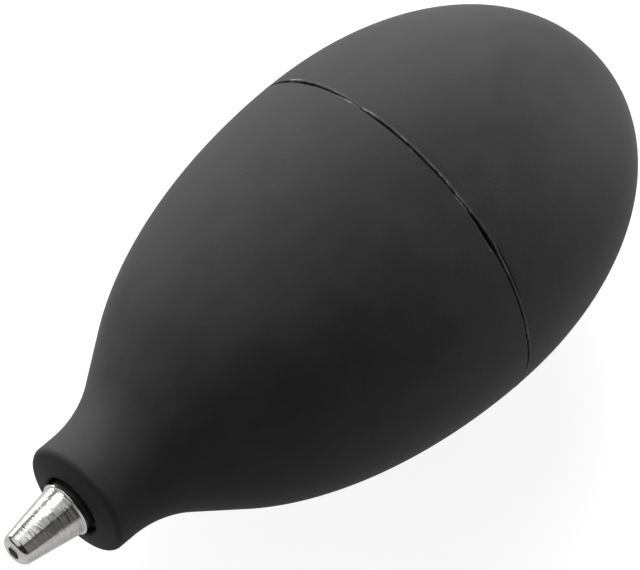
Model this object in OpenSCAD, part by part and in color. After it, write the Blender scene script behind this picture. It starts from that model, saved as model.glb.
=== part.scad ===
// Dust blower bulb: a hollow rubber bulb made in two halves, with a screwed
// metal nozzle in its neck and a sprung inlet valve in its rear pole.
// It lies on its side: the axis runs along X, the nozzle points to +X, and
// the widest part of the bulb touches the plane z = 0. A "station" below is
// a distance along the axis, counted from the rear end.

/* [Bulb] */
// Diameter of the bulb at its widest
bulb_d = 50; // [47:0.5:53]
// Station of the widest part, where the two halves meet
rear_depth = 37.2; // [35:0.1:39]
// Fullness of the rear dome: 2 is an ellipse, and more is rounder at the shoulders
rear_fullness = 2.1; // [2:0.05:2.2]
// Half-length of the ellipse that shapes the front half
front_depth = 47.6; // [46:0.1:49]
// Slope of the straight shoulder ahead of the ellipse, in degrees
shoulder_slope = 34.2; // [33:0.1:36]
// Radius of the hollow curve between shoulder and neck
flare_r = 16.4; // [15:0.1:17]
// Thickness of the rubber wall
wall = 3; // [2.6:0.1:3.2]
// Length of the lap between the two halves
lap_length = 4; // [3:0.5:5]
// Thickness of the cement film in the lap
cement_t = 0.2; // [0.15:0.05:0.3]

/* [Neck] */
// Diameter of the neck
neck_d = 16.1; // [15.6:0.1:17]
// Station of the mouth's edge
mouth_station = 94.5; // [94:0.1:96]
// Diameter of the mouth and of the bore behind it
mouth_d = 9; // [8.8:0.1:9.6]
// Rounding of the neck's outer edge
neck_round = 1; // [0.6:0.1:1.4]
// Rise of the end face from that edge to the mouth
neck_crown = 0.6; // [0.3:0.1:0.9]

/* [Nozzle] */
// Length of the nozzle ahead of its lip
nozzle_len = 9; // [8:0.5:12]
// Diameter of the thin lip at the nozzle's base
lip_d = 7.8; // [7.6:0.1:8]
// Thickness of that lip
lip_t = 0.35; // [0.3:0.05:0.5]
// Height of the lip above the mouth's edge
lip_stand = 1; // [0.6:0.1:1.4]
// Diameter of the cone at its base
cone_base_d = 7.3; // [7:0.1:7.4]
// Diameter of the cone where its nose starts
cone_nose_d = 4.7; // [4.4:0.1:5]
// Rounding of the nose
nose_r = 1.1; // [0.9:0.1:1.2]
// Diameter of the orifice
orifice_d = 1.8; // [1.2:0.1:1.9]
// Diameter of the threaded shank
shank_d = 5; // [4.8:0.1:5.2]

/* [Inlet valve] */
// Diameter of the valve body's outer flange, sunk flush into the dome
flange_d = 13.6; // [13.4:0.1:14]
// Diameter of the port in the rubber
port_d = 11.8; // [11.7:0.1:12]
// Opening travel that the valve disc has
valve_travel = 1.4; // [1:0.1:1.5]
// Number of holes round the inlet cap's central one
cap_holes = 6; // [5:1:7]
// Number of turns of the valve spring
spring_turns = 4; // [3:1:4]

/* [Hidden] */
$fn = 96;

bulb_r = bulb_d / 2;
neck_r = neck_d / 2;
mouth_r = mouth_d / 2;
bore_r = bulb_r - wall;                 // inside of the bulb at its widest
overall = mouth_station + lip_stand + nozzle_len;
running = 0.05;                         // radial clearance of a running fit
curve_steps = 28;                       // points along each long curve
past = 1;                               // how far a cutter runs past a face

// Shoulder: where the ellipse ends, where the flare starts and where it ends
ellipse_end = atan(front_depth / bulb_r * tan(shoulder_slope));
ellipse_end_r = bulb_r * cos(ellipse_end);
ellipse_end_s = rear_depth + front_depth * sin(ellipse_end);
flare_start_r = neck_r + flare_r * (1 - cos(shoulder_slope));
flare_start_s = ellipse_end_s + (ellipse_end_r - flare_start_r) / tan(shoulder_slope);
neck_start_s = flare_start_s + flare_r * sin(shoulder_slope);
neck_edge_s = mouth_station - neck_crown;

// Socket in the neck
socket_flange_s = 79.5;                 // shoulder inside the bulb that it bears on
socket_flange_t = 1.6;
socket_flange_r = 6.2;
socket_face_s = mouth_station - 1.3;    // its face lies below the mouth
socket_stop_s = 84;                     // bottom of its thread
lip_back_s = mouth_station + lip_stand - lip_t;

// Inlet valve
seat_s = 3;                             // floor of the counterbore that holds the flange
boss_r = 10.5;                          // thick rubber round the port
barrel_end_s = 11.2;
screen_t = 0.3;
cap_back_s = 1.5;                       // inner face of the cap
cap_r = 4.9;
seat_back_s = 3.2;
seat_front_s = 4.4;                     // the disc rests here
seat_hole_r = 2.8;
chamber_r = 4.9;
disc_r = 4;
disc_t = 1;
stem_r = 0.8;
head_t = 0.5;
head_r = 2.6;
spring_wire_r = 0.2;
spring_r = 1.8;
collar_front_s = seat_front_s + disc_t + head_t;    // the spring starts here
spring_closed = 2 * spring_wire_r * (spring_turns + 1);
guide_s = collar_front_s + spring_closed + valve_travel + 0.1;
guide_t = 1;
clip_t = 0.5;

// Points along an oval centred on the widest station: [radius, station].
// A fullness of 2 makes it an ellipse.
function oval(r, depth, from, to, fullness = 2) = [
    for (i = [0:curve_steps])
        let (a = from + (to - from) * i / curve_steps)
        [r * pow(cos(a), 2 / fullness), rear_depth + depth * sign(a) * pow(abs(sin(a)), 2 / fullness)]
];
// Angle on such an oval at which its radius is x, or at which it is x away from the widest station
function oval_angle(r, x, fullness = 2) = acos(pow(x / r, fullness / 2));
function oval_station_angle(depth, x, fullness = 2) = asin(pow(x / depth, fullness / 2));
// Points along the rear dome, between two radii on a surface r wide and depth deep
function dome(r, depth, from_r, to_r) =
    oval(r, depth, -oval_angle(r, from_r, rear_fullness), -oval_angle(r, to_r, rear_fullness), rear_fullness);
// Points along an arc: centre [radius, station], its radius and two angles
function arc(centre, r, from, to, steps = 10) = [
    for (i = [0:steps])
        let (a = from + (to - from) * i / steps)
        centre + r * [cos(a), sin(a)]
];

// Turns an outline of [radius, station] points about the bulb's axis
module turned(outline) {
    along_axis() rotate_extrude() polygon(outline);
}

// Puts a shape built about Z, with its stations along +Z, on the bulb's axis
module along_axis() {
    translate([-overall / 2, 0, bulb_r]) rotate([0, 90, 0]) children();
}

// A straight round length between two stations
module round_bar(r, from, to) {
    translate([0, 0, from]) cylinder(r = r, h = to - from);
}

module front_shell() {
    lap_r = bulb_r - wall / 2;
    inner_depth = front_depth - wall;
    inner_end = oval_angle(bore_r, bore_r * sqrt(1 - pow((socket_flange_s - rear_depth) / inner_depth, 2)));
    color("#3a3a3a") turned(concat(
        [[lap_r, rear_depth]],
        oval(bulb_r, front_depth, 0, ellipse_end),
        arc([neck_r + flare_r, neck_start_s], flare_r, 180 + shoulder_slope, 180, 12),
        arc([neck_r - neck_round, neck_edge_s - neck_round], neck_round, 0, 80),
        [[mouth_r, mouth_station], [mouth_r, socket_flange_s]],
        oval(bore_r, inner_depth, inner_end, 0),
        [[bore_r, rear_depth - lap_length], [lap_r - cement_t / 2, rear_depth - lap_length],
         [lap_r - cement_t / 2, rear_depth]]
    ));
}

module rear_shell() {
    lap_r = bulb_r - wall / 2;
    inner_depth = rear_depth - wall;
    seam_s = rear_depth - cement_t;
    counterbore_r = flange_d / 2 + 0.08;
    step_s = rear_depth - lap_length - cement_t;
    edge_angle = oval_station_angle(rear_depth, cement_t, rear_fullness);
    port_angle = oval_angle(bulb_r, counterbore_r, rear_fullness);
    step_angle = oval_station_angle(inner_depth, rear_depth - step_s, rear_fullness);
    boss_angle = oval_angle(bore_r, boss_r, rear_fullness);
    inside = oval(bore_r, inner_depth, -step_angle, -boss_angle, rear_fullness);
    boss_s = inside[curve_steps][1];
    color("#333333") turned(concat(
        [[port_d / 2, boss_s], [port_d / 2, seat_s], [counterbore_r, seat_s]],
        oval(bulb_r, rear_depth, -port_angle, -edge_angle, rear_fullness),
        [[lap_r + cement_t / 2, seam_s], [lap_r + cement_t / 2, step_s]],
        inside
    ));
}

// Film of cement in the lap, with a thin edge that shows on the outside
module seam_cement() {
    lap_r = bulb_r - wall / 2;
    step_s = rear_depth - lap_length;
    color("#111111") turned([
        [bulb_r, rear_depth], [bulb_r, rear_depth - cement_t],
        [lap_r + cement_t / 2, rear_depth - cement_t],
        [lap_r + cement_t / 2, step_s - cement_t], [bore_r, step_s - cement_t],
        [bore_r, step_s], [lap_r - cement_t / 2, step_s], [lap_r - cement_t / 2, rear_depth]
    ]);
}

// Black bush pressed into the neck from inside, with three grip grooves
module nozzle_socket() {
    groove_t = 1.2;
    groove_depth = 0.4;
    grooves = [82.5, 85.5, 88.5];
    air_r = 1.6;
    flange_back_s = socket_flange_s - socket_flange_t;
    color("#151515") along_axis() difference() {
        union() {
            round_bar(socket_flange_r, flange_back_s, socket_flange_s);
            round_bar(mouth_r, socket_flange_s, socket_face_s);
        }
        round_bar(air_r, flange_back_s - past, socket_stop_s + past);
        round_bar(shank_d / 2 + running, socket_stop_s, socket_face_s + past);
        for (s = grooves) difference() {
            round_bar(mouth_r + past, s, s + groove_t);
            round_bar(mouth_r - groove_depth, s - past, s + groove_t + past);
        }
    }
}

// Soft ring that the nozzle's lip clamps against the socket
module nozzle_gasket() {
    gasket_r = 3.6;
    color("#1c1c1c") along_axis() difference() {
        round_bar(gasket_r, socket_face_s, lip_back_s);
        round_bar(shank_d / 2 + running, socket_face_s - past, lip_back_s + past);
    }
}

module nozzle_tip() {
    lip_front_s = lip_back_s + lip_t;
    shank_s = 85;
    chamfer = 0.3;
    counterbore_r = 1.4;
    counterbore_end_s = overall - 4;
    drill_point = 0.5;
    edge_r = lip_t / 2;
    color("silver") turned(concat(
        [[counterbore_r, shank_s], [shank_d / 2 - chamfer, shank_s],
         [shank_d / 2, shank_s + chamfer], [shank_d / 2, lip_back_s]],
        arc([lip_d / 2 - edge_r, lip_back_s + edge_r], edge_r, -90, 90, 8),
        [[cone_base_d / 2, lip_front_s], [cone_nose_d / 2, overall - nose_r]],
        arc([cone_nose_d / 2 - nose_r, overall - nose_r], nose_r, 10, 90, 8),
        [[orifice_d / 2, overall], [orifice_d / 2, counterbore_end_s],
         [counterbore_r, counterbore_end_s - drill_point]]
    ));
}

// Valve body: a flange that carries on the dome's curve, a barrel through the
// rubber and a snap rim that holds it from inside
module valve_body() {
    flange_r = flange_d / 2;
    barrel_r = port_d / 2 - running;
    rim_r = port_d / 2 + 0.6;
    rim_s = 7.25;
    rim_t = 0.5;
    taper = 1.3;
    tail_r = 5.6;
    throat_r = 4.3;
    clip_s = guide_s + guide_t;
    groove_r = chamber_r + 0.35;
    screen_s = cap_back_s + screen_t;
    color("lightgray") turned(concat(
        dome(bulb_r, rear_depth, cap_r, flange_r),
        [[flange_r, seat_s], [barrel_r, seat_s], [barrel_r, rim_s],
         [rim_r, rim_s], [rim_r, rim_s + rim_t], [tail_r, rim_s + rim_t + taper], [tail_r, barrel_end_s],
         [chamber_r, barrel_end_s], [chamber_r, clip_s + clip_t], [groove_r, clip_s + clip_t],
         [groove_r, clip_s], [chamber_r, clip_s], [chamber_r, seat_front_s],
         [seat_hole_r, seat_front_s], [seat_hole_r, seat_back_s], [throat_r, seat_back_s],
         [throat_r, screen_s], [cap_r, screen_s]]
    ));
}

// Crowned cap pressed into the flange, with a hole in the middle and a ring
// of holes round it
module inlet_cap() {
    hole_r = 0.7;
    ring_r = 2.7;
    color("gainsboro") difference() {
        turned(concat([[0, cap_back_s]], dome(bulb_r, rear_depth, 0, cap_r), [[cap_r, cap_back_s]]));
        along_axis() round_bar(hole_r, -past, cap_back_s + past);
        for (i = [1:cap_holes])
            along_axis() rotate([0, 0, i * 360 / cap_holes]) translate([ring_r, 0, 0])
                round_bar(hole_r, -past, cap_back_s + past);
    }
}

// Fine screen behind the cap: a thin disc with a square grid of openings
module dust_screen() {
    pitch = 1.1;
    opening = 0.6;
    rows = 3;
    grid_r = 4.2;
    color("darkgray") along_axis() translate([0, 0, cap_back_s]) difference() {
        cylinder(r = cap_r, h = screen_t);
        for (x = [-rows:rows], y = [-rows:rows])
            if (norm([x, y]) * pitch < grid_r)
                translate([x * pitch, y * pitch, screen_t / 2]) cube([opening, opening, 1], center = true);
    }
}

module valve_disc() {
    color("#202020") along_axis() difference() {
        round_bar(disc_r, seat_front_s, seat_front_s + disc_t);
        round_bar(stem_r, seat_front_s - past, seat_front_s + disc_t + past);
    }
}

// Stem: a rivet head under the disc, a collar above it and a guided shank
module valve_stem() {
    rivet_r = 1.6;
    rivet_t = 0.5;
    chamfer = 0.2;
    collar_s = seat_front_s + disc_t;
    tail_s = 12.2;
    color("gold") turned([
        [0, seat_front_s - rivet_t], [rivet_r, seat_front_s - rivet_t], [rivet_r, seat_front_s],
        [stem_r, seat_front_s], [stem_r, collar_s], [head_r, collar_s], [head_r, collar_front_s],
        [stem_r, collar_front_s], [stem_r, tail_s - chamfer], [stem_r - chamfer, tail_s], [0, tail_s]
    ]);
}

// Round wire wound in a helix between the stem's collar and the guide
module valve_spring() {
    sides = 8;
    steps = 16 * spring_turns;
    low = collar_front_s + spring_wire_r;
    high = guide_s - spring_wire_r;
    function ring(i) = [
        for (j = [0:sides - 1])
            let (turn = 360 * spring_turns * i / steps, a = 360 * j / sides,
                 r = spring_r + spring_wire_r * cos(a))
            [r * cos(turn), r * sin(turn), low + (high - low) * i / steps + spring_wire_r * sin(a)]
    ];
    color("gray") along_axis() polyhedron(
        points = [for (i = [0:steps]) each ring(i)],
        faces = concat(
            [[for (j = [0:sides - 1]) j]],
            [for (i = [0:steps - 1], j = [0:sides - 1])
                let (k = (j + 1) % sides)
                [i * sides + j, (i + 1) * sides + j, (i + 1) * sides + k, i * sides + k]],
            [[for (j = [sides - 1:-1:0]) steps * sides + j]]
        )
    );
}

// Guide: a rim, three arms and a hub with the stem's bore
module valve_guide() {
    rim_w = 0.7;
    hub_r = 2.3;
    arm_w = 1.2;
    arms = 3;
    slack = 0.02;
    guide_end_s = guide_s + guide_t;
    color("lightgray") along_axis() difference() {
        union() {
            difference() {
                round_bar(chamber_r - slack, guide_s, guide_end_s);
                round_bar(chamber_r - rim_w, guide_s - past, guide_end_s + past);
            }
            round_bar(hub_r, guide_s, guide_end_s);
            for (i = [1:arms]) rotate([0, 0, i * 360 / arms]) translate([0, -arm_w / 2, guide_s])
                cube([chamber_r - rim_w / 2, arm_w, guide_t]);
        }
        round_bar(stem_r + running, guide_s - past, guide_end_s + past);
    }
}

// Open ring of spring wire, snapped into the groove behind the guide
module valve_circlip() {
    gap = 3;
    clip_r = chamber_r + 0.3;
    clip_w = 0.8;
    clip_s = guide_s + guide_t;
    color("dimgray") along_axis() difference() {
        round_bar(clip_r, clip_s, clip_s + clip_t);
        round_bar(clip_r - clip_w, clip_s - past, clip_s + clip_t + past);
        translate([0, -gap / 2, clip_s - past]) cube([clip_r + past, gap, clip_t + 2 * past]);
    }
}

front_shell();
rear_shell();
seam_cement();
nozzle_socket();
nozzle_gasket();
nozzle_tip();
valve_body();
inlet_cap();
dust_screen();
valve_disc();
valve_stem();
valve_spring();
valve_guide();
valve_circlip();
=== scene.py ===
import math

import bmesh
import bpy
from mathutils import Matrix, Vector, noise


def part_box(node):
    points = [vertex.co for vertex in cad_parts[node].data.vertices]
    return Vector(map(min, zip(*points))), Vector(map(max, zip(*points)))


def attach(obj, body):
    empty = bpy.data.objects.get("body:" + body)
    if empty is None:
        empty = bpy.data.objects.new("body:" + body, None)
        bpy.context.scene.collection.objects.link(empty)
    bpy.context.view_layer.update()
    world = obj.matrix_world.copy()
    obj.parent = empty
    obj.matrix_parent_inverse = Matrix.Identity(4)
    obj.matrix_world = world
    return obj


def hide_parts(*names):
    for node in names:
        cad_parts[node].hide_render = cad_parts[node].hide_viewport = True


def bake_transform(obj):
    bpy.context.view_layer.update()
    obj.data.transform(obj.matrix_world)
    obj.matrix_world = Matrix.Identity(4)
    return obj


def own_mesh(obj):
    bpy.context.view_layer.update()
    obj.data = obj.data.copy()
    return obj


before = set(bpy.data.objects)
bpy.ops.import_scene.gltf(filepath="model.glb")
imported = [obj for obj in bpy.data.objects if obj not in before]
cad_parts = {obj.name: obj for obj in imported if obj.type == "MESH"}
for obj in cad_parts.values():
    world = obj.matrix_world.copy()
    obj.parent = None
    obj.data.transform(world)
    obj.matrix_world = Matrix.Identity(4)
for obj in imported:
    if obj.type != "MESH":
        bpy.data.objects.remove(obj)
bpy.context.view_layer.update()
MM = 0.001

# ---------------------------------------------------------------- front half
# The front half of the bulb is moulded in black soft-touch rubber, 3 mm thick: a long shoulder that
# sweeps into a short neck. Its outer edge meets the rear half at the widest part, and a tongue inside
# laps under the rear half, where it is cemented.
shell_low, shell_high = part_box("front_shell")
bulb_r = (shell_high.z - shell_low.z) / 2
axis_z = (shell_high.z + shell_low.z) / 2
seam_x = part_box("seam_cement")[1].x
mouth_x = shell_high.x
rubber_t = 3.0 * MM
lap_r = bulb_r - rubber_t / 2
lap_length = 4.0 * MM
cement_t = 0.2 * MM
ROUND_THE_BULB = 480


def on_axis(x, r, angle):
    """A point at x along the bulb's axis, r out from it. Angle 0 is up and a quarter turn is +Y."""
    return Vector((x, r * math.sin(angle), axis_z + r * math.cos(angle)))


def turned(name, outline, around=192, nudge=None, closed=True, highlight_at=None):
    """A mesh turned about the bulb's axis from an outline of (x, r) points. A point with r = 0 closes
    the end, nudge(x, r, angle) may shift each point of the outline as it goes round, and the last
    function, given (x, r, angle), says how strongly a highlight is painted on the surface there, from 0 to
    1."""
    mesh = bmesh.new()
    scarred = mesh.verts.layers.float.new("scarred")
    rings = []
    for x, r in outline:
        ring = []
        for i in range(around if r > 0 else 1):
            angle = 2 * math.pi * i / around
            dx, dr = nudge(x, r, angle) if nudge else (0, 0)
            point = mesh.verts.new(on_axis(x + dx, r + dr, angle))
            point[scarred] = highlight_at(x, r, angle) if highlight_at else 0
            ring.append(point)
        rings.append(ring)
    pairs = list(zip(rings, rings[1:]))
    if closed:
        pairs.append((rings[-1], rings[0]))
    for one, two in pairs:
        for i in range(around):
            j = (i + 1) % around
            if len(one) == 1 and len(two) == 1:
                break
            if len(one) == 1:
                mesh.faces.new((one[0], two[i], two[j]))
            elif len(two) == 1:
                mesh.faces.new((one[i], two[0], one[j]))
            else:
                mesh.faces.new((one[i], two[i], two[j], one[j]))
    bmesh.ops.recalc_face_normals(mesh, faces=mesh.faces)
    return keep_mesh(name, mesh)


def keep_mesh(name, mesh, sharp=math.radians(38)):
    """Turns a bmesh into a smooth-shaded piece whose corners sharper than the angle stay crisp."""
    data = bpy.data.meshes.new(name)
    mesh.to_mesh(data)
    mesh.free()
    data.shade_smooth()
    data.set_sharp_from_angle(angle=sharp)
    piece = bpy.data.objects.new(name, data)
    bpy.context.scene.collection.objects.link(piece)
    return piece


def arc(x, r, radius, start, stop, steps=10):
    """Points on an arc centred at (x, r). Angles are in degrees from the radial direction to +X."""
    turns = [math.radians(start + (stop - start) * i / steps) for i in range(steps + 1)]
    return [(x + radius * math.sin(turn), r + radius * math.cos(turn)) for turn in turns]


def oval(r, depth, start, stop, steps, fullness=2.0):
    """Points on an oval centred on the widest part, r out and depth along the axis. The angles are in
    degrees, and a fullness of 2 makes it an ellipse."""
    points = []
    for i in range(steps + 1):
        turn = math.radians(start + (stop - start) * i / steps)
        out = math.cos(turn) ** (2 / fullness)
        along = math.copysign(abs(math.sin(turn)) ** (2 / fullness), turn)
        points.append((seam_x + depth * along, r * out))
    return points


def smooth(value, low, high):
    """0 below low, 1 above high and an even S between them."""
    share = min(max((value - low) / (high - low), 0), 1)
    return share * share * (3 - 2 * share)


def peak(value, centre, width):
    """1 at the centre, dying away on both sides of it over about the width."""
    return math.exp(-(((value - centre) / width) ** 2))


def unevenness(angle, pace, layer):
    """Noise from -1 to 1 round the bulb. It varies faster at a higher pace, and each layer of it is
    different."""
    return noise.noise(Vector((math.sin(angle) * pace, math.cos(angle) * pace, layer)))


# Where the halves meet, the gap between them opens and closes on its way round: the angle in degrees
# and the gap's width in millimetres. Between these stations it changes smoothly.
seam_gap = [
    (-58, 0.14), (-53, 0.3), (-46, 0.4), (-34, 0.4), (-27, 0.24), (-22, 0.17), (-17.5, 0.05), (-15.5, 0.01),
    (-12.5, 0.01), (-10.5, 0.1), (-6, 0.2), (14, 0.17), (24, 0.14), (29, 0.05), (32, 0.07), (36, 0.34),
    (41, 0.5), (46, 0.52), (50, 0.22), (58, 0.13), (76, 0.15), (89, 0.26), (98, 0.12), (130, 0.14),
    (165, 0.26), (180, 0.02), (184, 0.12), (210, 0.18), (245, 0.1), (270, 0.22), (285, 0.12),
]


def round_turn(angle):
    """The angle in degrees, counted on from the first of the seam's stations."""
    first = seam_gap[0][0]
    return (math.degrees(angle) - first) % 360 + first


def gap_width(angle):
    """Width of the open seam at an angle round the bulb, with a little unevenness of its own."""
    turn = round_turn(angle)
    stations = seam_gap + [(seam_gap[0][0] + 360, seam_gap[0][1])]
    for (low, narrow), (high, wide) in zip(stations, stations[1:]):
        if low <= turn <= high:
            width = narrow + (wide - narrow) * smooth(turn, low, high)
            break
    ragged = unevenness(angle, 26, 4.0)
    crumbled = unevenness(angle, 62, 9.0)
    return width * (1 + 0.3 * ragged + 0.25 * crumbled) * MM


def seam_wander(angle):
    """How far the seam strays along the axis: a slow wave with a finer one on it, a small step where
    the two passes of the cementing met, and a slight bow on one side."""
    turn = round_turn(angle)
    slow = unevenness(angle, 1.6, 11.0)
    fine = unevenness(angle, 14, 2.0)
    step = 0.14 * smooth(turn, -16, -10) * (1 - smooth(turn, 150, 200))
    bow = 0.28 * smooth(math.cos(angle + math.radians(28)), 0.3, 0.75)
    return (0.22 * slow + 0.07 * fine + step + bow) * MM


def near_seam(back):
    """1 at the seam, fading to 0 over the next few millimetres of the half's outside."""
    return 1 - smooth(back, 0.3 * MM, 5 * MM)


def healed(x, r, angle):
    """Where the halves touch, their rounded edges merge and the seam all but vanishes."""
    edge_length = 0.15 * MM
    edge_depth = 0.31 * MM
    if abs(x - seam_x) > edge_length or r < bulb_r - edge_depth:
        return 0
    return (bulb_r - r) * 0.9 * (1 - smooth(gap_width(angle), 0.02 * MM, 0.08 * MM))


def strongest_highlight(turn, places):
    """How strong the nearest of the painted highlights is, each given as its angle, half its width and
    strength.
    """
    return max(strength * peak(turn, centre, width) for centre, width, strength in places)


def front_edge(x, r, angle):
    """Moves the front half's edge to the seam's uneven line, fading out over a few millimetres, and
    draws the mouth in a little on the -Y side, where the neck has sagged."""
    mouth_depth = 4 * MM
    mouth_rim = 1.5 * MM
    sag = 0.4 * MM
    if x > mouth_x - mouth_depth and r < mouth_r + mouth_rim:
        return 0, -sag * max(-math.sin(angle), 0) ** 2
    if r < lap_r - cement_t:
        return 0, 0
    return near_seam(x - seam_x) * (seam_wander(angle) + gap_width(angle) / 2), healed(x, r, angle)


def front_highlights(x, r, angle):
    """Painted highlights, as of light caught by small crumbs along the front half's edge."""
    if r < lap_r + cement_t or x > seam_x + 2 * MM:
        return 0
    front_glints = [
        (-17.5, 2.6, 0.9), (9, 0.6, 0.5), (28.6, 0.5, 0.9), (30.8, 0.45, 1.0), (32.6, 0.5, 0.8),
        (46.5, 1.2, 0.4), (95, 5, 0.5), (140, 1, 0.8), (190, 4, 0.6), (236, 1.5, 0.8), (268, 3, 0.5),
    ]
    return strongest_highlight(round_turn(angle), front_glints) * (1 - smooth(x - seam_x, 0.1 * MM, 0.24 * MM))


# How the moulded edge rounds over, as millimetres back from it and in from the surface
edge_round = [(0, 1.2), (0, 0.3), (0.005, 0.14), (0.02, 0.07), (0.05, 0.025), (0.1, 0.005), (0.16, 0)]
front_depth = 47.6 * MM
shoulder_slope = math.radians(34.2)
flare_r = 16.4 * MM
neck_r = 8.05 * MM
mouth_r = 4.5 * MM
neck_round = 1.0 * MM
neck_crown = 0.6 * MM
socket_seat_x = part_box("nozzle_socket")[0].x + 1.6 * MM

ellipse_end = math.atan(front_depth / bulb_r * math.tan(shoulder_slope))
ellipse_end_x = seam_x + front_depth * math.sin(ellipse_end)
ellipse_end_r = bulb_r * math.cos(ellipse_end)
flare_start_r = neck_r + flare_r * (1 - math.cos(shoulder_slope))
flare_start_x = ellipse_end_x + (ellipse_end_r - flare_start_r) / math.tan(shoulder_slope)
neck_start_x = flare_start_x + flare_r * math.sin(shoulder_slope)
lip_x = mouth_x - neck_crown - neck_round

outline = [(seam_x + back * MM, bulb_r - inset * MM) for back, inset in edge_round]
outline += [(seam_x + back * MM, bulb_r) for back in (0.22, 0.3, 0.4)]
oval_start = 0.5 * MM
first_turn = math.degrees(math.asin(oval_start / front_depth))
outline += oval(bulb_r, front_depth, first_turn, math.degrees(ellipse_end), 70)
cone_steps = 8
for i in range(1, cone_steps):
    share = i / cone_steps
    outline.append((
        ellipse_end_x + (flare_start_x - ellipse_end_x) * share,
        ellipse_end_r + (flare_start_r - ellipse_end_r) * share,
    ))
outline += arc(neck_start_x, neck_r + flare_r, flare_r, 180 + math.degrees(shoulder_slope), 180, 26)
outline += [(neck_start_x + (lip_x - neck_start_x) * share, neck_r) for share in (0.35, 0.7)]
outline += arc(lip_x, neck_r - neck_round, neck_round, 0, 78, 12)
mouth_round = 0.35 * MM
outline += arc(mouth_x - mouth_round, mouth_r + mouth_round, mouth_round, 75, 180, 8)
outline += [(mouth_x - 2 * MM, mouth_r), (mouth_x - 8 * MM, mouth_r), (socket_seat_x, mouth_r)]
inner_depth = front_depth - rubber_t
inner_r = bulb_r - rubber_t
inner_end = math.degrees(math.asin((socket_seat_x - seam_x) / inner_depth))
outline += oval(inner_r, inner_depth, inner_end, 0, 36)
tongue_x = seam_x - lap_length
tongue_r = lap_r - cement_t / 2
outline += [(tongue_x, inner_r), (tongue_x, tongue_r), (seam_x, tongue_r)]
front_half = turned("front_half", outline, ROUND_THE_BULB, front_edge, highlight_at=front_highlights)


class Shade:
    """A shader socket that can be used in sums, or the start of a material's nodes when it has none."""

    def __init__(self, tree, socket=None):
        self.tree = tree
        self.socket = socket

    def node(self, kind, settings=None, output=0, **inputs):
        """Adds a node: its type, its settings, then values or links for its sockets, by name, with
        spaces written as underscores and a number as in_0."""
        made = self.tree.nodes.new("ShaderNode" + kind)
        for key, value in (settings or {}).items():
            if key == "stops":
                ramp = made.color_ramp
                while len(ramp.elements) < len(value):
                    ramp.elements.new(0.5)
                for element, (place, colour) in zip(ramp.elements, value):
                    element.position = place
                    element.color = (*colour, 1)
            else:
                setattr(made, key, value)
        for key, value in inputs.items():
            name = int(key[3:]) if key.startswith("in_") else key.replace("_", " ")
            socket = made.inputs[name]
            if isinstance(value, Shade):
                self.tree.links.new(value.socket, socket)
            else:
                socket.default_value = value
        return Shade(self.tree, made.outputs[output])

    def maths(self, operation, one, two=0.0):
        return self.node("Math", {"operation": operation}, in_0=one, in_1=two)

    def __add__(self, other):
        return self.maths("ADD", self, other)

    def __radd__(self, other):
        return self.maths("ADD", other, self)

    def __sub__(self, other):
        return self.maths("SUBTRACT", self, other)

    def __rsub__(self, other):
        return self.maths("SUBTRACT", other, self)

    def __mul__(self, other):
        return self.maths("MULTIPLY", self, other)

    def __rmul__(self, other):
        return self.maths("MULTIPLY", other, self)

    def over(self, low, high):
        """0 below low, 1 above high, with an even S between them."""
        return self.node(
            "MapRange", {"interpolation_type": "SMOOTHSTEP"}, Value=self, From_Min=low, From_Max=high
        )

    def tint(self, one, two):
        """A colour that goes from one to two as this value goes from 0 to 1."""
        return self.node("Mix", {"data_type": "RGBA"}, output=2, in_0=self, in_6=(*one, 1), in_7=(*two, 1))

    def blend(self, under, over):
        """The colour under, covered by the colour over as this value goes from 0 to 1."""
        return self.node("Mix", {"data_type": "RGBA"}, output=2, in_0=self, in_6=under, in_7=(*over, 1))


def start_finish(name, metallic=0.0):
    """A new material: returns it, its shader and the start of its nodes, at the object's own place."""
    material = bpy.data.materials.new(name)
    material.use_nodes = True
    tree = material.node_tree
    place = Shade(tree).node("TexCoord", output=3)
    shader = tree.nodes["Principled BSDF"]
    shader.inputs["Metallic"].default_value = metallic
    return material, shader, place


def feed(shader, **links):
    """Links what varies over the surface to the shader, by socket name."""
    for key, value in links.items():
        value.tree.links.new(value.socket, shader.inputs[key.replace("_", " ")])


def speckle(place, scale, detail=2.0, rough=0.5):
    """Noise between 0 and 1 at a scale in cells per metre."""
    return place.node("TexNoise", Vector=place, Scale=scale, Detail=detail, Roughness=rough)


def bumped(height, depth, strength=1.0):
    """A normal raised by a height from 0 to 1 over a depth in metres."""
    return height.node("Bump", Strength=strength, Distance=depth, Height=height)


def rubber_finish(name):
    """Matt soft-touch rubber: a fine even grain, faint cloudy patches where it was handled, a little
    dust, and a ragged painted highlight along the seam's lit lip and on small crumbs at its edge."""
    material, shader, place = start_finish(name)
    cloud = speckle(place, 55, 3.0)
    handling = speckle(place, 210, 4.0, 0.6)
    grain = speckle(place, 4200, 2.0, 0.6)
    pores = speckle(place, 1500, 3.0, 0.65)
    patch = (0.55 * cloud + 0.45 * handling).over(0.32, 0.68)
    dust = speckle(place, 2600, 1.0).over(0.76, 0.83)
    shade = 0.7 * patch + 0.35 * grain + 0.4 * dust
    colour = shade.tint((0.030, 0.030, 0.031), (0.046, 0.046, 0.0475))
    scarred = place.node("Attribute", {"attribute_name": "scarred"}, output=2)
    ragged = speckle(place, 900, 3.0, 0.7).over(0.36, 0.6)
    # Painted highlight: the seam's lit lip and crumbs are painted pale grey where the mask is high.
    colour = (scarred * ragged).blend(colour, (0.26, 0.26, 0.26))
    feed(
        shader,
        Base_Color=colour,
        Roughness=0.56 + 0.1 * patch + 0.1 * grain,
        Normal=bumped(0.6 * grain + 0.4 * pores, 0.05 * MM, 0.8),
    )
    shader.inputs["Specular IOR Level"].default_value = 0.1
    shader.inputs["Sheen Weight"].default_value = 0.05
    shader.inputs["Sheen Roughness"].default_value = 0.3
    return material


front_half.data.materials.append(rubber_finish("soft_touch_rubber"))
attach(front_half, "bulb")
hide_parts("front_shell")
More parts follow.
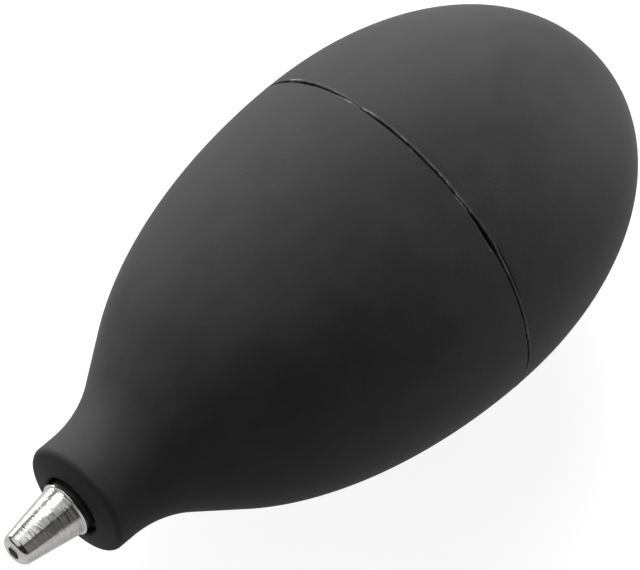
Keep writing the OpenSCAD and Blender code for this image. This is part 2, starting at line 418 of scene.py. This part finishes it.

# ----------------------------------------------------------------- rear half
# The rear half is a plain dome of the same rubber. Its pole is thickened into a boss that grips the
# inlet valve in a counterbored port. Its edge is slightly rolled where it was trimmed. It is the half
# that gives when the bulb is squeezed.
valve_low, valve_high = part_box("valve_body")
rear_depth = 37.2 * MM
rear_fullness = 2.1
pole_x = seam_x - rear_depth
port_r = 5.9 * MM
flange_r = (valve_high.z - valve_low.z) / 2
counterbore_r = flange_r + 0.08 * MM
counterbore_x = pole_x + 3.0 * MM
boss_r = 10.5 * MM


def dome_turn(r, out):
    """Angle on the rear dome, in degrees, at which a surface r wide is only this far out."""
    return -math.degrees(math.acos((out / r) ** (rear_fullness / 2)))


def dome_r(back):
    """Radius of the rear dome at a distance back from the seam."""
    return bulb_r * (1 - (back / rear_depth) ** rear_fullness) ** (1 / rear_fullness)


def rear_edge(x, r, angle):
    """Moves the rear half's edge to the seam's line and rolls it up where it was trimmed. For a short
    way a second line runs beside the seam."""
    if r < lap_r + cement_t * 0.8 or x < seam_x - 8 * MM:
        return 0, 0
    back = seam_x - x
    turn = round_turn(angle)
    rolled = 0.4 + 0.8 * smooth(turn, -14, -8) * (1 - smooth(turn, 27, 31))
    rolled *= 1 + 0.5 * unevenness(angle, 9, 7.0)
    ridge = peak(back, 0.16 * MM, 0.13 * MM) - 0.3 * peak(back, 0.6 * MM, 0.25 * MM)
    second_line = smooth(turn, 45, 50) * (1 - smooth(turn, 60, 70)) * peak(back, 0.44 * MM, 0.08 * MM)
    lift = (0.07 * rolled * ridge - 0.12 * second_line) * MM
    return near_seam(back) * (seam_wander(angle) - gap_width(angle) / 2), lift + healed(x, r, angle)


def rear_highlights(x, r, angle):
    """A painted highlight where the rear half's rolled lip catches the light along the seam, here and
    there.
    """
    back = seam_x - x
    if r < lap_r + cement_t or back > 2 * MM:
        return 0
    rear_glints = [
        (-43.5, 3, 1.0), (-30, 4, 0.35), (-23, 3, 0.4), (-9, 3.5, 0.75), (8, 6, 0.4), (23, 6, 1.0),
        (33.5, 0.7, 0.6), (40, 0.6, 0.5), (56, 6, 0.3), (82, 9, 0.4), (104, 5, 0.5), (128, 4, 0.7),
        (150, 9, 0.35), (178, 4, 0.9), (205, 8, 0.4), (232, 3, 0.8), (258, 7, 0.5), (280, 5, 0.7),
    ]
    return strongest_highlight(round_turn(angle), rear_glints) * (1 - smooth(back, 0.14 * MM, 0.4 * MM))


outline = [(seam_x - back * MM, dome_r(back * MM) - inset * MM) for back, inset in edge_round]
behind_edge = (0.2, 0.26, 0.32, 0.38, 0.44, 0.5, 0.58, 0.7, 0.86, 1.1, 1.5)
outline += [(seam_x - back * MM, dome_r(back * MM)) for back in behind_edge]
dome_start = 2 * MM
first_turn = -math.degrees(math.asin((dome_start / rear_depth) ** (rear_fullness / 2)))
port_turn = dome_turn(bulb_r, counterbore_r + 0.15 * MM)
outline += oval(bulb_r, rear_depth, first_turn, port_turn, 70, rear_fullness)
edge_x = outline[-1][0]
port_edge = 0.14 * MM
outline += arc(edge_x + port_edge, counterbore_r + port_edge, port_edge, -75, -180, 5)
outline += [(counterbore_x, counterbore_r), (counterbore_x, port_r)]
inner_depth = rear_depth - rubber_t
step_x = tongue_x - cement_t
step_turn = -math.degrees(math.asin(((seam_x - step_x) / inner_depth) ** (rear_fullness / 2)))
inside = oval(inner_r, inner_depth, dome_turn(inner_r, boss_r), step_turn, 34, rear_fullness)
boss_x = inside[0][0]
outline += [((counterbore_x + boss_x) / 2, port_r), (boss_x, port_r)]
outline += inside
outline += [(step_x, lap_r + cement_t / 2), (seam_x - cement_t * 2, lap_r + cement_t / 2)]
rear_half = turned("rear_half", outline, ROUND_THE_BULB, rear_edge, highlight_at=rear_highlights)
rear_half.data.materials.append(front_half.data.materials[0])
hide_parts("rear_shell")
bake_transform(rear_half)

# -------------------------------------------------------------- seam cement
# Rubber cement fills the lap between the halves. It has shrunk back below the surface, so the seam
# shows as a thin black line, and the cement's surface is lumpy.
def cement_face(x, r, angle):
    """The cement follows the seam's line, and its surface is lumpy."""
    if r < lap_r + cement_t:
        return 0, 0
    lumps = unevenness(angle, 40, x * 900)
    side = 1 if x > seam_x - cement_t / 2 else -1
    return seam_wander(angle) + side * gap_width(angle) / 2, lumps * 0.06 * MM


cement_r = bulb_r - 0.34 * MM
cement_side_r = cement_r - 0.06 * MM
crest_x = seam_x - cement_t / 2
crest_half = 0.01 * MM
outline = [
    (seam_x, tongue_r), (seam_x, lap_r + cement_t / 2), (seam_x, cement_side_r),
    (crest_x + crest_half, cement_r), (crest_x - crest_half, cement_r),
    (seam_x - cement_t, cement_side_r), (seam_x - cement_t, lap_r + cement_t / 2),
    (step_x, lap_r + cement_t / 2), (step_x, inner_r), (tongue_x, inner_r), (tongue_x, tongue_r),
]
cement = turned("cement_line", outline, ROUND_THE_BULB, cement_face)
material, shader, place = start_finish("dried_cement")
lumps = speckle(place, 1500, 3.0)
feed(
    shader,
    Base_Color=lumps.over(0.45, 0.75).tint((0.007, 0.007, 0.007), (0.02, 0.02, 0.02)),
    Roughness=0.55 + 0.3 * lumps,
    Normal=bumped(lumps, 0.1 * MM),
)
shader.inputs["Specular IOR Level"].default_value = 0.08
cement.data.materials.append(material)
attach(cement, "bulb")
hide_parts("seam_cement")

# ------------------------------------------------------------------- nozzle
# The nozzle is turned from brass bar and nickel plated: a slim cone with a rounded nose, a thin
# rolled lip at its base, and a threaded shank behind that screws into the neck's socket. The lathe
# tool has left fine rings, deepest towards the base.
nozzle_low, nozzle_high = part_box("nozzle_tip")
nose_x = nozzle_high.x
lip_r = (nozzle_high.z - nozzle_low.z) / 2
lip_t = 0.35 * MM
lip_back_x = mouth_x + 1.0 * MM - lip_t
cone_base_r = 3.65 * MM
cone_nose_r = 2.35 * MM
nose_round = 1.1 * MM
orifice_r = 0.9 * MM
bore_r = 1.4 * MM
shank_r = 2.5 * MM
shank_x = nozzle_low.x
thread_pitch = 0.8 * MM
thread_depth = 0.42 * MM
thread_start_x = shank_x + 0.3 * MM
thread_stop_x = lip_back_x - 1.2 * MM
cone_x = lip_back_x + lip_t


def thread(x, r, angle):
    """Cuts the screw thread into the shank: a ridge that climbs one pitch a turn."""
    if x > thread_stop_x or r < shank_r - 0.01 * MM:
        return 0, 0
    phase = ((x - shank_x) / thread_pitch + angle / (2 * math.pi)) % 1
    starting = smooth(x, shank_x, shank_x + thread_pitch)
    stopping = smooth(x, thread_stop_x - 1.0 * MM, thread_stop_x)
    return 0, -thread_depth * smooth(abs(phase - 0.5) * 2, 0.15, 0.85) * starting * (1 - stopping)


outline = [(shank_x, bore_r), (shank_x, shank_r - 0.35 * MM), (thread_start_x, shank_r)]
thread_steps = 110
shank_length = lip_back_x - 0.02 * MM - thread_start_x
for i in range(1, thread_steps + 1):
    outline.append((thread_start_x + shank_length * i / thread_steps, shank_r))
lip_edge = lip_t / 2
outline += [(lip_back_x, shank_r + 0.05 * MM), (lip_back_x, lip_r - lip_edge - 0.2 * MM)]
outline += arc(lip_back_x + lip_edge, lip_r - lip_edge, lip_edge, -80, 80, 12)
outline.append((cone_x + 0.02 * MM, cone_base_r + 0.06 * MM))

# The straight cone, with three fine grooves just ahead of the lip
cone_length = nose_x - nose_round - cone_x
cone_rings = 90
groove_depth = 0.0315 * MM
groove_width = 0.05 * MM
groove_places = (0.1 * MM, 0.42 * MM, 0.7 * MM)
for i in range(1, cone_rings):
    share = i / cone_rings
    ahead = cone_length * share
    dip = sum(peak(ahead, place, groove_width) for place in groove_places)
    r = cone_base_r + (cone_nose_r - cone_base_r) * share - groove_depth * dip
    outline.append((cone_x + ahead, r))
lean = math.degrees(math.atan((cone_base_r - cone_nose_r) / cone_length))
outline += arc(nose_x - nose_round, cone_nose_r - nose_round, nose_round, lean, 82, 18)
face_groove = 0.04 * MM
face_r = cone_nose_r - nose_round
outline += [(nose_x - face_groove, face_r), (nose_x, face_r - face_groove)]
rim_round = 0.06 * MM
outline += arc(nose_x - rim_round, orifice_r + rim_round, rim_round, 90, 180, 5)
outline += [(nose_x - 1.5 * MM, orifice_r), (nose_x - 4 * MM, orifice_r), (nose_x - 4.5 * MM, bore_r)]
outline += [(nose_x - 9 * MM, bore_r), (shank_x + 1 * MM, bore_r)]
nozzle = turned("nozzle_cone", outline, 160, thread)


def lathe_rings(place, across, scale, detail=2.0, rough=0.5):
    """Noise in rings round the bulb's axis, as a lathe tool leaves them. It varies much more slowly
    across the axis than along it, by the share given."""
    return speckle(place.node("Mapping", Vector=place, Scale=(1.0, across, across)), scale, detail, rough)


material, shader, place = start_finish("turned_nickel", metallic=1.0)
along_x = place.node("SeparateXYZ", Vector=place)
rings = lathe_rings(place, 0.03, 3000, 1.5, 0.6)
fine_rings = lathe_rings(place, 0.03, 8000, 2.0, 0.6)
worn = speckle(place, 900, 3.0, 0.6)
tarnish = (0.6 * worn + 0.4 * fine_rings).over(0.35, 0.65)
base = 1 - along_x.over(cone_x + 2.5 * MM, cone_x + 7 * MM)
marks = (0.7 * rings + 0.3 * fine_rings) * (0.3 + 0.7 * base)
feed(
    shader,
    Base_Color=tarnish.tint((0.80, 0.79, 0.77), (0.66, 0.65, 0.63)),
    Roughness=0.11 + 0.13 * rings * (0.4 + 0.6 * base) + 0.05 * worn,
    Normal=bumped(marks, 0.16 * MM),
)
nozzle.data.materials.append(material)
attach(nozzle, "nozzle")
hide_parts("nozzle_tip")

# ------------------------------------------------------------------- gasket
# A soft black ring, moulded with round edges, that the nozzle's lip presses on the socket.
gasket_low, gasket_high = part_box("nozzle_gasket")
gasket_r = (gasket_high.z - gasket_low.z) / 2
gasket_round = 0.3 * MM
outline = arc(gasket_low.x + gasket_round, gasket_r - gasket_round, gasket_round, -90, 0, 6)
outline += arc(gasket_high.x - gasket_round, gasket_r - gasket_round, gasket_round, 0, 90, 6)
gasket_hole_r = shank_r + 0.05 * MM
bevel = 0.05 * MM
outline += [(gasket_high.x, gasket_hole_r + bevel), (gasket_high.x - bevel, gasket_hole_r)]
outline += [(gasket_low.x + bevel, gasket_hole_r), (gasket_low.x, gasket_hole_r + bevel)]
gasket = turned("gasket_ring", outline, 128)
material, shader, place = start_finish("gasket_rubber")
grain = speckle(place, 3000, 3.0)
feed(
    shader,
    Base_Color=grain.tint((0.012, 0.012, 0.012), (0.028, 0.028, 0.029)),
    Roughness=0.38 + 0.2 * grain,
    Normal=bumped(grain, 0.04 * MM, 0.5),
)
gasket.data.materials.append(material)
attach(gasket, "nozzle_seal")
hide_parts("nozzle_gasket")

# ------------------------------------------------------------------- socket
# The socket is a bush of black nylon, pressed into the neck from inside the bulb before the halves
# were joined. It is turned, so faint rings show on its face.
def dress(node, material):
    """Gives a piece of the frame its finish."""
    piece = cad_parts[node]
    piece.data.materials.clear()
    piece.data.materials.append(material)


material, shader, place = start_finish("black_nylon")
rings = lathe_rings(place, 0.05, 3500)
fleck = speckle(place, 2200, 3.0)
feed(
    shader,
    Base_Color=fleck.tint((0.012, 0.012, 0.012), (0.022, 0.022, 0.022)),
    Roughness=0.45 + 0.2 * rings,
    Normal=bumped(0.7 * rings + 0.3 * fleck, 0.03 * MM, 0.6),
)
dress("nozzle_socket", material)

# --------------------------------------------------------------- valve body
# The inlet valve's body is turned from brass and nickel plated. Its flange carries on the dome's
# curve, flush with the rubber; its barrel passes through the port, and a snap rim holds it inside.
cap_low, cap_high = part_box("inlet_cap")
cap_r = (cap_high.z - cap_low.z) / 2
barrel_r = port_r - 0.05 * MM
snap_r = port_r + 0.6 * MM
snap_x = pole_x + 7.25 * MM
snap_t = 0.45 * MM
snap_slope = 1.3 * MM
tail_r = 5.6 * MM
chamber_r = 4.9 * MM
throat_r = 4.3 * MM
seat_hole_r = 2.8 * MM
seat_back_x = pole_x + 3.2 * MM
seat_front_x = pole_x + 4.4 * MM
clip_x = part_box("valve_circlip")[0].x
clip_t = 0.5 * MM
clip_groove_r = chamber_r + 0.35 * MM
screen_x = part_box("dust_screen")[1].x
body_edge = 0.15 * MM


def dome_x(r):
    """Where the dome's surface lies at a radius."""
    return seam_x - rear_depth * (1 - (r / bulb_r) ** rear_fullness) ** (1 / rear_fullness)


outline = [(screen_x, cap_r), (dome_x(cap_r) + 0.12 * MM, cap_r)]
outline += [(dome_x(r * MM), r * MM) for r in (5.0, 5.2, 5.5, 5.8, 6.1, 6.4, 6.6)]
outline += arc(dome_x(flange_r) + body_edge, flange_r - body_edge, body_edge, -75, 0, 5)
outline += [(counterbore_x, flange_r), (counterbore_x, barrel_r), (snap_x, barrel_r)]
bevel = 0.1 * MM
outline += [(snap_x, snap_r - bevel), (snap_x + bevel, snap_r), (snap_x + snap_t, snap_r)]
outline.append((snap_x + snap_t + snap_slope, tail_r))
outline += [(valve_high.x - bevel, tail_r), (valve_high.x, tail_r - bevel)]
outline += [(valve_high.x, chamber_r + 0.08 * MM), (valve_high.x - 0.08 * MM, chamber_r)]
outline += [(clip_x + clip_t, chamber_r), (clip_x + clip_t, clip_groove_r), (clip_x, clip_groove_r)]
outline += [(clip_x, chamber_r), (seat_front_x, chamber_r), (seat_front_x, seat_hole_r + bevel)]
outline += [(seat_front_x - bevel, seat_hole_r), (seat_back_x, seat_hole_r), (seat_back_x, throat_r)]
outline += [(screen_x, throat_r)]
valve_body = turned("inlet_body", outline, 144)
material, shader, place = start_finish("plated_valve", metallic=1.0)
rings = lathe_rings(place, 0.02, 4200, 3.0, 0.7)
worn = speckle(place, 500, 4.0, 0.6)
feed(
    shader,
    Base_Color=worn.over(0.4, 0.7).tint((0.66, 0.65, 0.63), (0.55, 0.54, 0.515)),
    Roughness=0.22 + 0.14 * rings + 0.1 * worn,
    Normal=bumped(rings, 0.03 * MM, 0.6),
)
valve_body.data.materials.append(material)
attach(valve_body, "inlet_valve")
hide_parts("valve_body")

# ---------------------------------------------------------------- inlet cap
# The cap is pressed from plated sheet to the dome's curve and let into the flange. Air is drawn in
# through one hole in the middle and six round it, each with a rounded edge.
hole_r = 0.7 * MM
hole_ring_r = 2.7 * MM
ring_holes = 6
cap_edge_r = cap_r - 0.03 * MM
outline = [(cap_high.x, 0), (cap_high.x, cap_edge_r), (dome_x(cap_r) + 0.14 * MM, cap_edge_r)]
outline += [(dome_x(r * MM), r * MM) for r in (4.8, 4.6, 4.2, 3.7, 3.2, 2.7, 2.2, 1.7, 1.2, 0.6)]
outline += [(pole_x, 0)]
inlet_cap = turned("inlet_grille", outline, 96, closed=False)
holes = bmesh.new()
upright_to_axis = Vector((0, 0, 1)).rotation_difference(Vector((1, 0, 0))).to_matrix()
centres = [(hole_ring_r, 2 * math.pi * i / ring_holes - math.pi / 2) for i in range(ring_holes)] + [(0, 0)]
for out, angle in centres:
    pin = bmesh.ops.create_cone(
        holes, cap_ends=True, segments=40, radius1=hole_r, radius2=hole_r, depth=6 * MM
    )["verts"]
    bmesh.ops.rotate(holes, verts=pin, matrix=upright_to_axis)
    bmesh.ops.translate(holes, verts=pin, vec=on_axis(cap_low.x, out, angle))
drill = keep_mesh("drill", holes)
cut = inlet_cap.modifiers.new("holes", "BOOLEAN")
cut.object = drill
cut.operation = "DIFFERENCE"
cut.solver = "EXACT"
soften = inlet_cap.modifiers.new("soft edges", "BEVEL")
soften.width = 0.09 * MM
soften.segments = 3
soften.limit_method = "ANGLE"
soften.angle_limit = math.radians(40)
bpy.context.view_layer.update()
drilled = inlet_cap.evaluated_get(bpy.context.evaluated_depsgraph_get())
finished = bpy.data.meshes.new_from_object(drilled)
inlet_cap.modifiers.clear()
inlet_cap.data = finished
bpy.data.objects.remove(drill)
material, shader, place = start_finish("plated_cap", metallic=1.0)
brushed = place.node("Mapping", Vector=place, Scale=(1.0, 1.0, 0.04))
lines = speckle(brushed, 6000, 2.0, 0.6)
worn = speckle(place, 700, 4.0, 0.6)
feed(
    shader,
    Base_Color=worn.over(0.4, 0.72).tint((0.70, 0.69, 0.67), (0.58, 0.57, 0.55)),
    Roughness=0.24 + 0.16 * lines + 0.08 * worn,
    Normal=bumped(lines, 0.02 * MM, 0.5),
)
inlet_cap.data.materials.append(material)
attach(inlet_cap, "inlet_valve")
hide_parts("inlet_cap")

# -------------------------------------------------------------- dust screen
# A fine stainless screen behind the cap keeps dust out of the bulb.
material, shader, place = start_finish("screen_steel", metallic=1.0)
wire = speckle(place, 9000, 2.0)
dirt = speckle(place, 800, 3.0)
feed(
    shader,
    Base_Color=dirt.over(0.4, 0.7).tint((0.42, 0.42, 0.43), (0.2, 0.19, 0.18)),
    Roughness=0.3 + 0.25 * wire,
    Normal=bumped(wire, 0.02 * MM),
)
dress("dust_screen", material)

# --------------------------------------------------------------- valve disc
# The disc is punched from soft red-brown rubber sheet and seals on the seat while the bulb is squeezed.
material, shader, place = start_finish("disc_rubber")
grain = speckle(place, 2600, 3.0)
feed(
    shader,
    Base_Color=grain.tint((0.05, 0.018, 0.013), (0.09, 0.035, 0.026)),
    Roughness=0.55 + 0.2 * grain,
    Normal=bumped(grain, 0.04 * MM, 0.6),
)
dress("valve_disc", material)

# --------------------------------------------------------------- valve stem
# The stem is a turned brass rivet: its head is closed over the disc and its tail slides in the guide.
material, shader, place = start_finish("turned_brass", metallic=1.0)
rings = lathe_rings(place, 0.03, 5000, 3.0, 0.7)
dull = speckle(place, 1100, 3.0)
feed(
    shader,
    Base_Color=dull.over(0.35, 0.7).tint((0.72, 0.53, 0.25), (0.5, 0.35, 0.16)),
    Roughness=0.24 + 0.16 * rings + 0.1 * dull,
    Normal=bumped(rings, 0.02 * MM, 0.6),
)
dress("valve_stem", material)

# -------------------------------------------------------------- valve guide
# The guide is stamped from brass strip: a rim, three arms and a reamed hub.
material, shader, place = start_finish("stamped_brass", metallic=1.0)
scuff = speckle(place.node("Mapping", Vector=place, Scale=(1.0, 1.0, 0.1)), 3800, 3.0)
dull = speckle(place, 700, 4.0)
feed(
    shader,
    Base_Color=dull.over(0.35, 0.7).tint((0.7, 0.52, 0.26), (0.46, 0.33, 0.16)),
    Roughness=0.3 + 0.2 * scuff,
    Normal=bumped(scuff, 0.02 * MM, 0.6),
)
dress("valve_guide", material)

# ------------------------------------------------------------------ circlip
# The circlip is an open ring of blued spring steel, snapped into its groove behind the guide.
material, shader, place = start_finish("blued_steel", metallic=1.0)
bloom = speckle(place, 600, 3.0)
fine = speckle(place, 5200, 2.0)
feed(
    shader,
    Base_Color=bloom.over(0.35, 0.7).tint((0.07, 0.08, 0.12), (0.16, 0.15, 0.15)),
    Roughness=0.3 + 0.2 * fine,
    Normal=bumped(fine, 0.015 * MM, 0.6),
)
dress("valve_circlip", material)

# -------------------------------------------------------------- valve spring
# The spring is wound from fine stainless wire, its end turns closed up to bear flat on the stem's
# collar and on the guide.
spring_low, spring_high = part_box("valve_spring")
wire_r = 0.2 * MM
coil_r = (spring_high.z - spring_low.z) / 2 - wire_r
coil_turns = 5
coil_steps = 44 * coil_turns
wire_sides = 10
spring_length = spring_high.x - spring_low.x
coil = bmesh.new()
rings = []
for i in range(coil_steps + 1):
    share = i / coil_steps
    turn = 2 * math.pi * coil_turns * share
    climb = 0.12 * share + 0.88 * smooth(share, 0.02, 0.98)
    x = spring_low.x + wire_r + (spring_length - 2 * wire_r) * climb
    section = arc(x, coil_r, wire_r, 0, 360, wire_sides)[:-1]
    rings.append([coil.verts.new(on_axis(along, out, turn)) for along, out in section])
for one, two in zip(rings, rings[1:]):
    for j in range(wire_sides):
        k = (j + 1) % wire_sides
        coil.faces.new((one[j], one[k], two[k], two[j]))
coil.faces.new(rings[0])
coil.faces.new(rings[-1][::-1])
bmesh.ops.recalc_face_normals(coil, faces=coil.faces)
spring = keep_mesh("return_spring", coil)
material, shader, place = start_finish("spring_wire", metallic=1.0)
drawn = speckle(place, 7000, 3.0)
feed(
    shader,
    Base_Color=drawn.over(0.3, 0.7).tint((0.52, 0.52, 0.53), (0.42, 0.42, 0.42)),
    Roughness=0.2 + 0.2 * drawn,
    Normal=bumped(drawn, 0.01 * MM, 0.5),
)
spring.data.materials.append(material)
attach(spring, "inlet_valve")
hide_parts("valve_spring")
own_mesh(spring)

# -------------------------------------------------------------------- floor
# The bulb lies on a white acrylic light table, which glows enough to keep shadows faint. It looks
# nearly white to the camera and lights the bulb less than that, so that the rubber stays dark.
floor_mesh = bmesh.new()
bmesh.ops.create_grid(floor_mesh, x_segments=1, y_segments=1, size=6)
floor = keep_mesh("floor", floor_mesh)
material, shader, place = start_finish("white_acrylic")
to_the_camera = place.node("LightPath")
feed(
    shader,
    Base_Color=speckle(place, 3, 2.0).tint((0.19, 0.19, 0.19), (0.21, 0.21, 0.21)),
    Emission_Color=to_the_camera.tint((0.40, 0.40, 0.40), (0.90, 0.90, 0.90)),
)
shader.inputs["Roughness"].default_value = 0.8
shader.inputs["Specular IOR Level"].default_value = 0.1
shader.inputs["Emission Strength"].default_value = 1.0
floor.data.materials.append(material)

# ------------------------------------------------------------------- camera
# A long lens, high up in front of the bulb on the nozzle's side and turned off its axis.
camera_turn = math.radians(44.9)
camera_height = math.radians(56.4)
to_camera = Vector((
    math.cos(camera_height) * math.cos(camera_turn),
    math.cos(camera_height) * math.sin(camera_turn),
    math.sin(camera_height),
))
image_right = Vector((-math.sin(camera_turn), math.cos(camera_turn), 0))
image_up = to_camera.cross(image_right)
aim_x = pole_x + 48 * MM
shift_left = 1.37 * MM
shift_up = 0.36 * MM
aim = Vector((aim_x, 0, axis_z)) - image_right * shift_left + image_up * shift_up
camera_far = 1.1
camera_data = bpy.data.cameras.new("camera")
camera_data.lens = 483
camera_data.sensor_width = 36
camera_data.clip_start = 0.05
camera_data.clip_end = 50
camera = bpy.data.objects.new("camera", camera_data)
camera.location = aim + to_camera * camera_far
camera.rotation_mode = "QUATERNION"
camera.rotation_quaternion = to_camera.to_track_quat("Z", "Y")
bpy.context.scene.collection.objects.link(camera)
bpy.context.scene.camera = camera

# ------------------------------------------------------------------- lights
# One broad soft box stands high behind the bulb and a long narrow one hangs over it. Three low ones
# behind it light its rims. The three cards are weak lights that lift its sides and the nozzle.
def soft_box(name, place, size, power, towards=Vector((0, 0, axis_z))):
    """A rectangular soft box, or a lit card, that faces the bulb and is not itself seen."""
    data = bpy.data.lights.new(name, "AREA")
    data.shape = "RECTANGLE"
    data.size, data.size_y = size
    data.energy = power
    light = bpy.data.objects.new(name, data)
    light.location = place
    light.rotation_mode = "QUATERNION"
    light.rotation_quaternion = (Vector(place) - towards).to_track_quat("Z", "Y")
    light.visible_camera = False
    bpy.context.scene.collection.objects.link(light)


soft_box("key", (-0.62, -0.62, 0.9), (0.75, 0.6), 20)
soft_box("overhead", (-0.06, -0.3, 1.15), (0.22, 2.2), 2.4)
soft_box("right rim", (-1.095, 0.39, 0.08), (0.7, 0.14), 9)
soft_box("left rim", (-0.8, -0.95, 0.2), (0.7, 0.35), 5.5)
soft_box("left strip", (-0.214, -1.202, 0.1), (0.5, 0.16), 5)
soft_box("left card", (0.05, -1.15, 0.3), (0.5, 0.55), 0.4)
soft_box("right card", (-0.05, 1.05, 0.65), (0.6, 1.1), 0.35)
soft_box("nozzle card", (0.118, -0.049, 0.121), (0.16, 0.13), 0.05, towards=Vector((0.047, 0, axis_z)))

# ------------------------------------------------------------------- studio
# The studio is dark around the bulb, but it looks nearly white to the camera, as a pale backdrop.
world = bpy.data.worlds.new("studio")
world.use_nodes = True
backdrop = world.node_tree.nodes["Background"]
backdrop.inputs["Color"].default_value = (1, 1, 1, 1)
straight_to_camera = Shade(world.node_tree).node("LightPath")
glow = 0.02 + 0.94 * straight_to_camera
world.node_tree.links.new(glow.socket, backdrop.inputs["Strength"])
bpy.context.scene.world = world
bpy.context.scene.view_settings.view_transform = "Standard"
